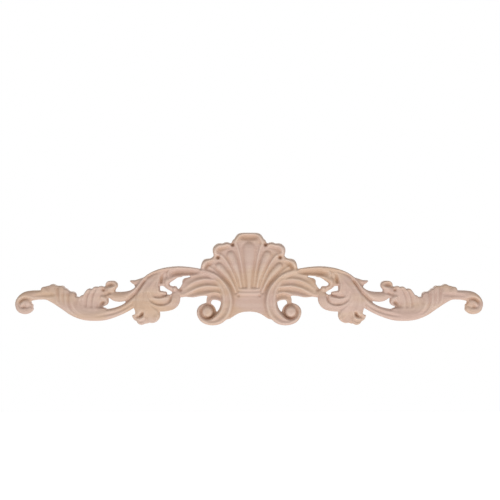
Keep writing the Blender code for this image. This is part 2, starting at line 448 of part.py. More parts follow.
def fans(sheet):
    """Two sheaths of small leaf lobes that stand on the lower stem."""
    floor(sheet, [(190, -20, 5), (191, -34, 6), (204, -32, 8), (213, -33, 6)], 9.6)
    floor(sheet, [(186.4, -13.2, 4.4), (185.4, -22, 4.4), (185.4, -28, 4.2), (188.6, -32, 4)], 9.4)
    floor(sheet, [(186, -39.4, 3.4), (194, -40, 4.4), (204, -40.4, 4.6), (214, -38, 4.6), (220, -34, 4)],
          12)
    floor(sheet, [(219, -34, 5), (223, -30, 4)], 9)
    floor(sheet, [(216.4, -27, 4.2), (222.4, -26.6, 4.2), (222, -34, 4)], 11.4)
    floor(sheet, [(228, -30, 7), (240, -24, 9), (252, -18, 7)], 11)
    floor(sheet, [(228, -20.4, 4.4), (231.6, -18.6, 4), (240, -14, 4.6), (245.4, -12.4, 4.6),
                  (258, -12.6, 4.8)], 11)
    first_fan = (
        [(197.4, -44, 1.4, 13), (197.6, -38, 2.6, 13), (198, -30, 3.4, 12.8), (195, -20, 4.4, 13.2),
         (190.4, -13.0, 5.0, 13)],
        [(203.4, -45, 1.4, 13), (204.4, -38.4, 2.6, 13), (204.8, -30, 3.4, 12.8),
         (202, -20.4, 4.3, 13.6), (196.8, -13.6, 4.9, 13.4)],
        [(209.4, -45, 1.4, 13), (210.6, -38.4, 2.6, 13), (211.6, -30, 3.4, 12.8),
         (209.4, -21.8, 4.0, 13.4), (204.8, -16.2, 4.9, 13.2)],
        [(213.4, -44.6, 1.4, 12.8), (216, -37, 2.6, 12.8), (216.4, -29, 3.2, 12.6),
         (213.6, -23.6, 3.9, 12.4)],
    )
    for rows in first_fan:
        stroke(sheet, rows, 9.4, leaf_profile)
    second_fan = (
        [(200, -46.4, 1.6, 12.8), (210, -44.6, 2.6, 13.2), (219.4, -39.6, 3.6, 13.8),
         (226, -32, 4.2, 14.4), (227.4, -25, 4.8, 14), (226.6, -20.2, 4.9, 13.4)],
        [(222, -45.6, 1.4, 13.6), (230, -38.4, 2.6, 14.2), (234.6, -30, 3.4, 14.4),
         (235.2, -22, 3.4, 14.2), (235.8, -14.4, 3.4, 13.4)],
        [(232, -39.6, 1.4, 13.4), (238.6, -32, 2.6, 14), (240.8, -24, 3.2, 14.2),
         (241.2, -15, 3.6, 13.8), (240.6, -11.6, 4.0, 13.2)],
        [(240, -34.6, 1.4, 13.2), (246, -27, 2.8, 13.8), (248.2, -19.6, 3.6, 13.8),
         (252, -10.9, 5.3, 13.4)],
        [(246, -27.4, 2, 12.8), (253, -21, 3.6, 13), (258.4, -16.4, 4.2, 13), (263, -13.1, 4.2, 12.6)],
    )
    for rows in second_fan:
        stroke(sheet, rows, 10.6, round_profile)
    # soft veins between the ribs of both fans
    first_veins = (
        [(195, -12, 0.9, 0.5), (199.4, -18, 1.3, 1), (201.4, -25, 1.3, 1), (200.8, -33, 1.3, 1),
         (199.6, -39, 1.1, 0.6)],
        [(204, -15, 0.9, 0.5), (207.6, -22, 1.3, 1), (208.6, -30, 1.3, 1), (207.4, -37, 1.3, 0.8)],
        [(190, -20, 0.9, 0.3), (193.4, -27, 1.2, 0.8), (193.8, -34, 1.5, 1), (192.6, -39, 1.2, 0.6)],
        [(211, -21, 0.8, 0.3), (214, -28, 1.1, 0.8), (213.6, -34, 1.4, 1), (211.6, -39, 1.1, 0.6)],
    )
    for rows in first_veins:
        groove(sheet, rows, 1.2)
    second_veins = (
        [(231.2, -17.5, 0.9, 0.5), (231.4, -24, 1.3, 1), (230.4, -31, 1.4, 1), (226.6, -38.6, 1.2, 0.7),
         (221, -43.6, 0.9, 0.3)],
        [(237.4, -12, 0.8, 0.4), (238.2, -20, 1.2, 0.9), (237.4, -28, 1.2, 1), (234.4, -34.4, 1.0, 0.6),
         (230, -39.4, 0.8, 0.3)],
        [(245.4, -10.4, 0.9, 0.5), (244.2, -18, 1.3, 1), (243.4, -26, 1.2, 0.8), (240, -32.4, 0.9, 0.3)],
        [(223.4, -29.6, 0.9, 0.4), (222, -34.4, 1.3, 1), (217.4, -39.6, 1.3, 0.9), (210, -43.4, 1.0, 0.4)],
    )
    for rows in second_veins:
        groove(sheet, rows, 1.2)
    # along the stem beyond the fans
    groove(sheet, [(248, -19, 2, 0.4), (256, -19.4, 3.2, 1), (265, -20, 3.4, 1), (275, -21, 2.4, 0.5)], 1.6)
    # the first fan's lower end curls around a hollow, with a slit between it and the stem
    stroke(sheet, [(188.6, -22.5, 2.4, 12.2), (184.8, -24.6, 3, 11.8), (183.4, -28.6, 3, 11.6),
                   (184.6, -31.4, 2.2, 11.4)], 9.4)
    groove(sheet, [(184.6, -28.6, 1.4, 0.4), (187.2, -29.8, 2.7, 1), (189.6, -32, 2.4, 0.9),
                   (190.4, -35.8, 1.6, 0.5)], 4.2)
    cut(sheet, [(179, -34.4, 1.3, 0), (183.4, -35, 1.2, 0), (187.2, -35.4, 0.9, 0)])
    hole(sheet, 186.8, -13.2, 2.2, 6)


def softened(values, reach):
    """Gaussian blur of a grid, with the reach given in samples."""
    radius = int(3 * reach) + 1
    offsets = np.arange(-radius, radius + 1)
    weights = np.exp(-0.5 * (offsets / reach) ** 2)
    weights /= weights.sum()
    for axis in (0, 1):
        # the carving goes on past x = 0 as its own mirror image
        pads = [(0, 0), (0, 0)]
        pads[axis] = (radius, radius)
        mode = "reflect" if axis == 0 else "edge"
        padded = np.pad(values, pads, mode=mode)
        count = values.shape[axis]
        values = sum(
            weight * np.take(padded, range(radius + offset, radius + offset + count), axis)
            for weight, offset in zip(weights, offsets)
        )
    return values


def carve(step):
    """Draw the right half of the carving on a sheet with the given distance between samples."""
    sheet = Sheet(step)
    main_stem(sheet)
    fans(sheet)
    shell_plate(sheet)
    shell_rims(sheet)
    shell_tongues(sheet)
    shell_root(sheet)
    arm(sheet)
    side_scroll(sheet)
    wing(sheet)
    big_leaf(sheet)
    arched_stem(sheet)
    scroll_eye(sheet)
    sheet.height *= SHEET_HEIGHT / sheet.height.max()
    # round the outline's sharpest corners, as a carver's knife leaves them
    roll = ROLL / UNIT
    sheet.mask = softened(np.clip(sheet.mask, -MARGIN, roll + MARGIN), CORNER_REACH / step)
    # roll the carving down to the wall along the outline, and keep a floor under the deepest cuts
    wall = WALL / RISE
    share = np.clip(sheet.mask / roll, 0, 1)
    limit = wall + (SHEET_HEIGHT - wall) * np.sqrt(1 - (1 - share) ** 2)
    sheet.height = np.clip(sheet.height, 0.6 * wall, limit)
    return sheet


def outlined_grid(sheet):
    """Half of the carved face, cut along the outline, in metres."""
    count_x, count_z = sheet.grid_x.shape
    grid = bmesh.new()
    bmesh.ops.create_grid(grid, x_segments=count_x - 1, y_segments=count_z - 1, size=0.5)
    height_layer = grid.verts.layers.float.new("height")
    wall = WALL / RISE
    for vert in grid.verts:
        column = round((vert.co.x + 0.5) * (count_x - 1))
        row = round((vert.co.y + 0.5) * (count_z - 1))
        # the mask stands in for the depth until the outline is cut
        vert.co = (sheet.x[column], -sheet.mask[column, row], sheet.z[row])
        vert[height_layer] = sheet.height[column, row]
    everything = grid.verts[:] + grid.edges[:] + grid.faces[:]
    bmesh.ops.bisect_plane(grid, geom=everything, dist=0.02, plane_co=(0, 0, 0), plane_no=(0, 1, 0),
                           clear_outer=True)
    for vert in grid.verts:
        height = wall if vert.co.y > -0.02 else vert[height_layer]
        vert.co = (vert.co.x * UNIT, -height * RISE, (vert.co.z - SHEET_MIDDLE) * UNIT)
    bmesh.ops.triangulate(grid, faces=grid.faces)
    return grid


def apply_modifiers(item):
    """Replace an object's mesh by the result of its modifiers."""
    graph = bpy.context.evaluated_depsgraph_get()
    result = bpy.data.meshes.new_from_object(item.evaluated_get(graph))
    item.modifiers.clear()
    item.data = result


def close_back(item):
    """Run the outline straight back to the flat back and close the back with one flat face."""
    solid = bmesh.new()
    solid.from_mesh(item.data)
    border = [edge for edge in solid.edges if edge.is_boundary]
    pulled = bmesh.ops.extrude_edge_only(solid, edges=border)["geom"]
    for vert in pulled:
        if isinstance(vert, bmesh.types.BMVert):
            vert.co.y = 0.0
    rear = [edge for edge in solid.edges if edge.is_boundary]
    bmesh.ops.triangle_fill(solid, edges=rear, use_beauty=True, use_dissolve=False, normal=(0, 1, 0))
    bmesh.ops.recalc_face_normals(solid, faces=solid.faces)
    solid.to_mesh(item.data)
    solid.free()


def wood_material(name):
    material = bpy.data.materials.new(name)
    material.use_nodes = True
    shader = material.node_tree.nodes["Principled BSDF"]
    shader.inputs["Base Color"].default_value = WOOD
    shader.inputs["Roughness"].default_value = 0.65
    return material


def build():
    for item in list(bpy.data.objects):
        bpy.data.objects.remove(item, do_unlink=True)
    collection = bpy.data.collections.new("corner_onlay")
    bpy.context.scene.collection.children.link(collection)

    sheet = carve(SAMPLE / UNIT)
    grid = outlined_grid(sheet)
    mesh = bpy.data.meshes.new("onlay")
    grid.to_mesh(mesh)
    grid.free()
    onlay = bpy.data.objects.new("onlay", mesh)
    collection.objects.link(onlay)

    mirror = onlay.modifiers.new("other half", "MIRROR")
    mirror.merge_threshold = WELD
    thin = onlay.modifiers.new("fewer triangles", "DECIMATE")
    thin.ratio = min(1.0, HALF_FACE_TRIANGLES / len(mesh.polygons))
    apply_modifiers(onlay)
    close_back(onlay)
    onlay.data.name = "onlay"
    onlay.data.materials.clear()
    onlay.data.materials.append(wood_material("onlay wood"))
    return onlay


build()
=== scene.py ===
"""Looks of the carved wooden onlay: the finely carved face, its raw wood, the light and the camera."""

import math

import bmesh
import bpy
import numpy as np
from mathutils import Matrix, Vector


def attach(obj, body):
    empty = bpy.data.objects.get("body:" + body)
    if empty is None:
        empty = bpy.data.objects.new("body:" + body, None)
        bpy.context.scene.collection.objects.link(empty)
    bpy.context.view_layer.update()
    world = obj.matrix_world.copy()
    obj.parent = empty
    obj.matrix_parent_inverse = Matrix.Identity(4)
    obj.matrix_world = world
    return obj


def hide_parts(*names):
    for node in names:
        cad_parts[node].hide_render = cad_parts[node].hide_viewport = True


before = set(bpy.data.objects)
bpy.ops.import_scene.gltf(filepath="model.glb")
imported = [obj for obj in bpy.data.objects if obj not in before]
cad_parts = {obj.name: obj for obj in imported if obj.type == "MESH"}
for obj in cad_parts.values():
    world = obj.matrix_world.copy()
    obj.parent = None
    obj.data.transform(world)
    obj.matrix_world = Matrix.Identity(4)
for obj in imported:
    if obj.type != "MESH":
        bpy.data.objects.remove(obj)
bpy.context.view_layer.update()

# Main sizes of the part, in metres
LENGTH = 0.600
THICKNESS = 0.018
# height of the plain side wall, from the back to where the carving starts
WALL = 0.0048
# distance over which the carving rolls down to the wall
ROLL = 0.0036
# distance between the samples of the carved face
SAMPLE = 0.00058
# reach of the softening that sandpaper leaves on the carving, in sheet units
SANDED = 1.0
# what sanding takes off the outline, in sheet units
SANDED_OFF = 0.2
# reaches of the two measures of how deep a place lies among its surroundings, in sheet units
NEAR_HOLLOW = 1.6
WIDE_HOLLOW = 5.0
# samples this near to the outline count as on it, in sheet units
ON_OUTLINE = 0.02
# points this near to their mirror images are joined with them, in metres
MERGE_DISTANCE = 0.00002

# The carving is drawn on a sheet 600 units long, with its highest point 18 units above the back.
# All rows below are in these units, so they are shares of the length and of the thickness.
SHEET_LENGTH = 600.0
SHEET_HEIGHT = 18.0
UNIT = LENGTH / SHEET_LENGTH
RISE = THICKNESS / SHEET_HEIGHT
# the sheet's origin lies this far under the middle of the carving's box
SHEET_MIDDLE = 0.6
# half the sheet: the other half is its mirror image
SHEET_RIGHT = 303.0
SHEET_BOTTOM = -64.0
SHEET_TOP = 64.0
# value of the mask where nothing has been drawn
NOTHING = -50.0
# how far around a stroke the samples are looked at
MARGIN = 3.0
# reach of the rounding of the outline's corners
CORNER_REACH = 0.8
# curve steps between two control rows
CURVE_STEPS = 8
# points that a ring is drawn through
RING_POINTS = 13
# length of the very short stroke that makes a knob or a hole
DOT = 0.01
# smallest half width that a stroke can have
NARROWEST = 0.05
# softness of the crease between two raised strokes
CREASE = 0.6
# how far a piece of low ground is crowned over its edge
FLOOR_CROWN = 0.5
# share of the wall's height that stays under the deepest cuts
LEAST_GROUND = 0.6
# a blur is cut off at this many reaches
BLUR_CUTOFF = 3
# least share of a blur that counts as lying inside the outline
LEAST_SHARE = 0.2
TINY = 1e-9
HUGE = 1e9


class Sheet:
    """Grid of samples with the carved height and a mask that is positive inside the outline."""

    def __init__(self, step):
        self.step = step
        self.x = np.arange(0.0, SHEET_RIGHT, step)
        self.z = np.arange(SHEET_BOTTOM, SHEET_TOP, step)
        self.grid_x, self.grid_z = np.meshgrid(self.x, self.z, indexing="ij")
        self.height = np.zeros(self.grid_x.shape)
        self.mask = np.full(self.grid_x.shape, NOTHING)

    def window(self, low, high):
        """Slices of the grid that cover a box."""
        first_x = max(0, int(low[0] / self.step) - 1)
        last_x = max(0, int(high[0] / self.step) + 2)
        first_z = max(0, int((low[1] - SHEET_BOTTOM) / self.step) - 1)
        last_z = max(0, int((high[1] - SHEET_BOTTOM) / self.step) + 2)
        return slice(first_x, last_x), slice(first_z, last_z)


def smooth_curve(rows):
    """Curve through rows of numbers, with CURVE_STEPS steps between two rows."""
    given = np.asarray(rows, float)
    before = 2 * given[0] - given[1]
    after = 2 * given[-1] - given[-2]
    given = np.vstack([before, given, after])
    share = np.linspace(0, 1, CURVE_STEPS, endpoint=False)[:, None]
    pieces = []
    for a, b, c, d in zip(given, given[1:], given[2:], given[3:]):
        bend = (2 * a - 5 * b + 4 * c - d) * share**2
        twist = (3 * b - a - 3 * c + d) * share**3
        pieces.append(0.5 * (2 * b + (c - a) * share + bend + twist))
    pieces.append(given[-2][None])
    return np.vstack(pieces)


def follow(sheet, rows):
    """Where the samples lie along a stroke.

    Gives the window, the last value at the nearest place on the stroke, the depth inside the
    stroke's border and the position across it, from -1 at its right side to 1 at its left.
    """
    line = smooth_curve(rows)
    reach = line[:, 2].max() + MARGIN
    window = sheet.window(line[:, :2].min(0) - reach, line[:, :2].max(0) + reach)
    x = sheet.grid_x[window]
    z = sheet.grid_z[window]
    depth = np.full(x.shape, NOTHING)
    width = np.ones(x.shape)
    value = np.zeros(x.shape)
    side = np.ones(x.shape)
    for start, end in zip(line, line[1:]):
        run_x, run_z = end[:2] - start[:2]
        off_x = x - start[0]
        off_z = z - start[1]
        share = np.clip((off_x * run_x + off_z * run_z) / (run_x**2 + run_z**2 + TINY), 0, 1)
        here_width = start[2] + (end[2] - start[2]) * share
        distance = np.hypot(off_x - share * run_x, off_z - share * run_z)
        here = here_width - distance > depth
        depth = np.where(here, here_width - distance, depth)
        width = np.where(here, here_width, width)
        value = np.where(here, start[3] + (end[3] - start[3]) * share, value)
        side = np.where(here, np.where(run_x * off_z < run_z * off_x, -1.0, 1.0), side)
    width = np.maximum(width, NARROWEST)
    across = side * np.clip((width - depth) / width, 0, 1)
    return window, value, depth, across


def round_profile(across):
    return np.sqrt(np.clip(1 - across**2, 0, 1))


def flat_profile(across):
    return np.sqrt(np.clip(1 - across**4, 0, 1))


def hollow_profile(across):
    """Two raised borders with a shallow channel between them."""
    border = 0.72
    away = np.abs(across)
    channel = 1 - 0.45 * (1 - (away / border) ** 2)
    fall = np.sqrt(np.clip(1 - ((away - border) / (1 - border)) ** 2, 0, 1))
    return np.where(away < border, channel, fall)


def leaf_profile(across):
    """Rises from the left side to a lip near the right side, as the lobe of a leaf does."""
    lip = 0.75
    low = 0.35
    soft = 0.85
    right = -across
    rise = np.clip((right + 1) / (1 + lip), 0, 1)
    slope = low * (1 - rise) + rise**1.8
    edge = np.sqrt(np.clip(1 - ((-soft - right) / (1 - soft)) ** 2, 0, 1))
    slope = np.where(right < -soft, slope * edge, slope)
    fall = np.sqrt(np.clip(1 - ((right - lip) / (1 - lip)) ** 2, 0, 1))
    return np.where(right < lip, slope, fall)


def leaf_profile_other(across):
    return leaf_profile(-across)


def blend(first, second, softness):
    """The higher of two heights, with the crease between them softened."""
    share = np.clip(0.5 + 0.5 * (first - second) / softness, 0, 1)
    return second + (first - second) * share + softness * share * (1 - share)


def stroke(sheet, rows, edge, profile=round_profile, on_top=False):
    """Carve a raised stroke along rows of (x, z, half width, height at the crown).

    The stroke starts at the height of its edge. On top, it replaces what it covers.
    """
    window, crown, depth, across = follow(sheet, rows)
    raised = edge + (crown - edge) * profile(across)
    old = sheet.height[window]
    if on_top:
        share = np.clip(depth, 0, 1)
        new = old + (raised - old) * share * share * (3 - 2 * share)
    else:
        new = np.where(old > 0, blend(old, raised, CREASE), raised)
    sheet.height[window] = np.where(depth > 0, new, old)
    sheet.mask[window] = np.maximum(sheet.mask[window], depth)


def floor(sheet, rows, height):
    """Low ground between the raised strokes, along rows of (x, z, half width)."""
    crowned = [(x, z, width, height) for x, z, width in rows]
    stroke(sheet, crowned, height - FLOOR_CROWN, flat_profile)


def groove(sheet, rows, deepest):
    """Cut a rounded groove along rows of (x, z, half width, share of the depth)."""
    window, share, _, across = follow(sheet, rows)
    sheet.height[window] -= deepest * share * (1 - across**2) ** 1.5


def cut(sheet, rows):
    """Take a slot out of the outline, along rows of (x, z, half width, 0)."""
    window, _, depth, _ = follow(sheet, rows)
    sheet.mask[window] = np.minimum(sheet.mask[window], -depth)


def knob(sheet, x, z, radius, height, edge, profile=round_profile):
    stroke(sheet, [(x, z, radius, height), (x + DOT, z, radius, height)], edge, profile)


def hole(sheet, x, z, radius, deepest):
    groove(sheet, [(x, z, radius, 1), (x + DOT, z, radius, 1)], deepest)


def ring_groove(sheet, x, z, radius, half_width, deepest):
    turn = np.linspace(0, 2 * math.pi, RING_POINTS)
    ring = [(x + radius * math.cos(a), z + radius * math.sin(a), half_width, 1) for a in turn]
    groove(sheet, ring, deepest)


def inside_distance(sheet, outline):
    """Distance to a closed outline, positive inside it, over the window around it."""
    corners = np.asarray(outline, float)
    window = sheet.window(corners.min(0) - MARGIN, corners.max(0) + MARGIN)
    x = sheet.grid_x[window]
    z = sheet.grid_z[window]
    nearest = np.full(x.shape, HUGE)
    inside = np.zeros(x.shape, bool)
    for (ax, az), (bx, bz) in zip(corners, np.roll(corners, -1, axis=0)):
        run_x = bx - ax
        run_z = bz - az
        share = np.clip(((x - ax) * run_x + (z - az) * run_z) / (run_x**2 + run_z**2 + TINY), 0, 1)
        nearest = np.minimum(nearest, np.hypot(x - ax - share * run_x, z - az - share * run_z))
        if az != bz:
            inside ^= ((az > z) != (bz > z)) & (x < run_x * (z - az) / run_z + ax)
    return window, np.where(inside, nearest, -nearest)


def shell_plate(sheet):
    """The shell's plate, with its lobed outline. It rises from the root to the lobes."""
    middle_lobe = [(0, 60.3), (9.5, 60.2), (13.4, 59.2), (16, 57.2), (17.2, 54.4), (19.4, 52.2),
                   (21.5, 50.2), (22.4, 47.4)]
    second_lobe = [(23.2, 46.6), (26, 47.4), (29.4, 48.2), (31.8, 47.6), (34, 46.6), (37, 46.9),
                   (40.6, 46.4), (44, 44), (46.3, 40), (46.9, 35.6), (45.6, 31)]
    third_lobe = [(46, 29.8), (48.6, 27.8), (51, 27.2), (54, 27), (57.6, 26), (60.4, 22.6), (61.9, 17.6),
                  (62.4, 14.6), (61.5, 12)]
    lower_edge = [(40, 0), (30, -30), (33, -50), (25.5, -51), (20, -47.7), (15, -44.6), (10, -42.7),
                  (5, -41.8), (0, -41.5)]
    outline = []
    for part in (middle_lobe, second_lobe, third_lobe, lower_edge):
        outline.extend(smooth_curve(part).tolist())
    outline.extend([(-5, -41.5), (-5, 60)])
    window, depth = inside_distance(sheet, outline)
    x = sheet.grid_x[window]
    z = sheet.grid_z[window]
    # the plate rises from the root, and falls away beside the scroll
    root_height = 8.6
    lobe_rise = 4.2
    side_fall = 3.0
    from_root = np.hypot(x, z + 20)
    ground = root_height + lobe_rise * np.clip((from_root - 8) / 62, 0, 1) ** 1.2
    fall_start = 18 + np.maximum(z + 10, 0) * 0.9
    ground -= side_fall * np.clip((x - fall_start) / 14, 0, 1)
    # the base under the root is slightly dished
    base_top = -18
    base_height = 9.2
    dish = np.cos(np.clip(x / 20, 0, 1) * math.pi / 2) * np.clip((base_top - z) / 8, 0, 1)
    ground = np.where(z < base_top, base_height - dish, ground)
    inside = depth > 0
    sheet.height[window] = np.where(inside, np.maximum(sheet.height[window], ground), sheet.height[window])
    sheet.mask[window] = np.maximum(sheet.mask[window], depth)


def shell_rims(sheet):
    """Rolled rims of the lobes and the ridges that run from them down to the root."""
    stroke(sheet, [(0, 58.2, 1.9, 15.4), (8, 58.0, 2.0, 16.2), (12.6, 56.4, 2.8, 17.4),
                   (15.4, 52.6, 3.0, 17), (17.2, 48, 2.8, 16), (16.5, 43.5, 2.3, 14.5)], 11)
    stroke(sheet, [(24.5, 43.6, 2.2, 14.5), (28, 45, 3.2, 16.5), (32.6, 43.6, 2.9, 16),
                   (38, 43.2, 3.6, 17), (42.2, 40.2, 4.0, 17.5), (43.2, 35.8, 3.6, 16.8),
                   (41.4, 32.4, 2.5, 15)], 10)
    stroke(sheet, [(46.6, 25.6, 2.0, 14), (50.5, 24.4, 2.6, 15), (55.2, 22.8, 3.6, 16.5),
                   (58.3, 18.6, 3.4, 16), (58, 14.5, 2.6, 13)], 9.5)
    stroke(sheet, [(15.6, 44, 2.4, 15.2), (13.4, 36, 1.6, 14.6), (11.4, 27, 1.2, 13.6),
                   (9.8, 18, 1.0, 12.8), (8.0, 6, 0.9, 11.6), (6.4, -8, 0.8, 10.4)], 9.5)
    stroke(sheet, [(36, 31.5, 2.2, 15), (32, 27, 2.0, 14.4), (26.5, 19, 1.6, 13.4),
                   (21.5, 9.5, 1.3, 12.4), (17.2, -1, 1.2, 11.4), (14.2, -10, 1.0, 10.4)], 9.5)
    floor(sheet, [(59, 14.6, 2.4), (53, 13, 2.8), (47, 10.6, 2.6), (41, 7, 2.2)], 11.2)
    stroke(sheet, [(51.6, 16.4, 1.8, 12.8), (46.4, 13.4, 1.9, 12.2), (39.6, 8, 1.6, 11.4),
                   (31.5, 0, 1.3, 10.6), (24.5, -9, 1.1, 10), (19.5, -17, 1.0, 9.6)], 8.6)


def shell_tongues(sheet):
    """A middle tongue and two tongues to each side. Each stands in a shallow groove."""
    middle = [(0, 40.4, 8.8, 14.8), (0, 32, 7.9, 14.6), (0, 20, 6.4, 14), (0, 5, 4.6, 12.6),
              (0, -9.5, 3.4, 10.8)]
    inner = [(23.4, 31.8, 5.7, 14.8), (19.7, 23.4, 5.3, 14.4), (16, 13, 4.3, 13.4), (12.9, 3, 3.3, 12),
             (10.4, -8.5, 2.3, 10.5)]
    outer = [(38.8, 17.2, 5.0, 14.2), (33.6, 12, 4.7, 13.8), (27.8, 5, 3.9, 12.8), (23, -2.4, 3.1, 11.8),
             (19, -10.5, 2.2, 10.8), (16.8, -16, 1.5, 10)]
    for rows in (middle, inner, outer):
        groove(sheet, [(x, z, width + 2.4, 1) for x, z, width, crown in rows], 3.0)
    for rows in (middle, inner, outer):
        stroke(sheet, rows, 9.8, round_profile, True)


def shell_root(sheet):
    """Two bands under the tongues, the hollows under the rims and the drilled holes."""
    for level, half_width in ((-12.8, 2.0), (-17.6, 2.1)):
        band = [(0, level, half_width, 10.4), (8, level, half_width, 10.4), (13.5, level + 0.5, 1.4, 10.1)]
        stroke(sheet, band, 9.3)
    groove(sheet, [(0, -20.8, 0.9, 0.7), (10, -20.8, 1, 0.9), (15, -20.8, 1, 1)], 0.9)
    groove(sheet, [(0, 53.4, 4.6, 1), (6, 53.6, 4.2, 0.85), (11, 54, 3, 0.25)], 3.6)
    groove(sheet, [(25, 41, 2.2, 0.6), (31, 40.4, 3.0, 0.9), (37, 38.4, 3.2, 1), (39.2, 34.6, 2.6, 0.7)],
           1.3)
    groove(sheet, [(44, 22.5, 2.2, 0.6), (49, 20.8, 3.0, 0.9), (53, 18.2, 3.0, 1), (54.6, 15, 2.2, 0.7)],
           1.5)
    hole(sheet, 39.8, 28.4, 2.6, 7)
    hole(sheet, 21.2, 44.8, 2.6, 8)
    hole(sheet, 56.6, 15.6, 2.2, 3)
    hole(sheet, 13.6, -20.8, 1.8, 2.6)


def side_scroll(sheet):
    """The C-shaped scroll beside the shell, with the bead and the hollow along it."""
    stroke(sheet, [(62, 10.9, 2.4, 12.5), (51, 7.2, 3.4, 13), (42, 1.8, 5, 13.5), (34.4, -6, 6.2, 14),
                   (29.4, -17, 7.4, 14.5), (28.4, -29, 7.8, 14.5), (31.2, -40.6, 8.0, 14.2),
                   (38.6, -49.8, 7.6, 14), (49, -53.9, 5.2, 13.6), (58.4, -51.2, 4.6, 13.4),
                   (63.5, -44, 3.8, 13.2), (62.8, -37.4, 3.2, 13), (57.8, -33.4, 2.6, 12.6),
                   (52, -33, 2, 11.5)], 6.5, flat_profile, True)
    stroke(sheet, [(60, 12, 1.2, 13.5), (50, 9.2, 1.5, 14.6), (41, 4.6, 1.8, 15.4), (33, -3.4, 1.9, 16),
                   (26.4, -13, 2, 16.2), (23.2, -24, 2.1, 16.2), (23.8, -35, 2.2, 16),
                   (27.8, -45, 2.3, 15.4), (33.8, -52, 2.2, 14.8), (42, -56, 2.0, 14.2),
                   (51, -56.6, 1.8, 13.8), (59.3, -53, 1.6, 13.4)], 10)
    groove(sheet, [(46, 4.6, 1.0, 0.3), (37, -3, 2.0, 0.6), (30.6, -13, 2.8, 1), (28.4, -25, 3.2, 1),
                   (29.4, -36, 3.2, 1), (34, -45, 3.0, 1), (41.4, -51.2, 2.4, 0.9), (50, -53, 1.8, 0.7),
                   (57, -50, 1.4, 0.5)], 1.8)


def scroll_eye(sheet):
    """The round eye that the scroll ends around."""
    knob(sheet, 54.2, -42.1, 12, 8.8, 7.5)
    ring_groove(sheet, 53.4, -40.8, 8.8, 2.3, 4.8)
    # the raised disc in the middle has a nearly flat top
    knob(sheet, 53.4, -40.8, 7.2, 14.2, 9, flat_profile)


def wing(sheet):
    """Four long leaf lobes that spread from the scroll under the arched stem."""
    floor(sheet, [(40, -8, 6), (55, -6, 10), (70, -9, 10), (80, -13, 6)], 7.5)
    floor(sheet, [(37, -19, 3), (42, -19.5, 2.5), (51, -18.8, 2.6), (60, -17.5, 3.4)], 8)
    floor(sheet, [(76, 0, 6), (81, -3, 5)], 7.5)
    floor(sheet, [(82, -18, 4.4), (86, -19.6, 3.6)], 7.5)
    stroke(sheet, [(30, -9, 2, 12), (38, -1.5, 3.2, 13.4), (47, 2.2, 4.2, 13.8), (58, 3.2, 4.8, 13.8),
                   (69, 1.2, 5.4, 13.4), (78, -3.6, 5.2, 12.6), (84, -9.6, 3.8, 10.5)], 8.5, leaf_profile)
    stroke(sheet, [(28.5, -16, 2, 12.5), (36, -9, 3.2, 13.8), (45, -6.4, 4.0, 14.4), (56, -6, 4.4, 14.4),
                   (67, -8.2, 5, 14), (77, -12.6, 5.2, 13), (85, -17.6, 3.6, 11)], 8.5, leaf_profile)
    stroke(sheet, [(29, -24, 2, 12.5), (36, -17, 3, 13.4), (44, -14.2, 3.6, 13.6),
                   (54, -15.2, 5.2, 13.4), (64, -16.8, 5, 12.8), (72, -18.7, 4.6, 12),
                   (80, -19.4, 3.2, 10.5)], 8, leaf_profile)
    stroke(sheet, [(32, -28.5, 2.4, 11.5), (38.5, -23.6, 3.8, 12.4), (46.4, -22, 4.4, 12.4),
                   (50.8, -25, 3.8, 11.6), (52.2, -31.5, 2.6, 10)], 7, leaf_profile)
    ribs = (
        [(42, 1.4, 0.7, 0.4), (54, 3.6, 1.0, 1), (66, 2.4, 1.0, 1), (76, -2.2, 0.8, 0.5)],
        [(40, -7.6, 0.7, 0.4), (52, -5.0, 1.0, 1), (64, -6.6, 1.0, 1), (76, -11.6, 0.8, 0.5)],
        [(40, -16, 0.7, 0.4), (50, -14, 1.0, 1), (62, -15.6, 1.0, 1), (73, -18.4, 0.8, 0.5)],
    )
    for rows in ribs:
        groove(sheet, rows, 1.3)
    # the opening under the arm runs out to a thin slit over the wing
    cut(sheet, [(85, 2.6, 1.4, 0), (80.4, 3.3, 1.1, 0), (76, 3.9, 0.8, 0)])


def arm(sheet):
    """The hollow arm over the wing. Its end curls back to a small ball."""
    floor(sheet, [(104, 10, 4), (112, 4, 5), (112, -3.6, 5)], 10.5)
    floor(sheet, [(86, -12, 3.2), (89, -16, 3.6)], 6)
    floor(sheet, [(95.4, -19.4, 3.2), (97, -24, 3)], 6)
    stroke(sheet, [(110, -5.4, 2.4, 9.5), (104, -9.8, 3, 9.5), (99, -12.2, 3.4, 9.5),
                   (93.5, -15.6, 4, 9.5), (89, -19.5, 4, 9)], 6)
    stroke(sheet, [(58, 9.5, 2.5, 11), (66, 9.8, 4.4, 12), (76, 9.4, 6.4, 13), (88, 9.6, 6.8, 13.5),
                   (99, 7.6, 6.8, 13.5)], 7, hollow_profile)
    stroke(sheet, [(84, 10, 2.6, 8), (92, 7.6, 4.6, 10.5), (99, 3.6, 5.2, 13), (104.6, -1.4, 4.4, 14),
                   (105.4, -6.4, 2.8, 12.6), (101, -10.4, 2.2, 11), (96, -11, 2.4, 10.5)], 7)
    groove(sheet, [(65, 7.6, 2.2, 0.3), (75, 8.4, 4.2, 0.9), (87, 8.4, 4.8, 1), (97, 6.6, 4.2, 0.9),
                   (103.4, 1.6, 2.6, 0.3)], 3.2)
    knob(sheet, 95.4, -11.6, 3.4, 12.4, 7)
    ring_groove(sheet, 95.4, -11.6, 3.6, 0.8, 1.6)


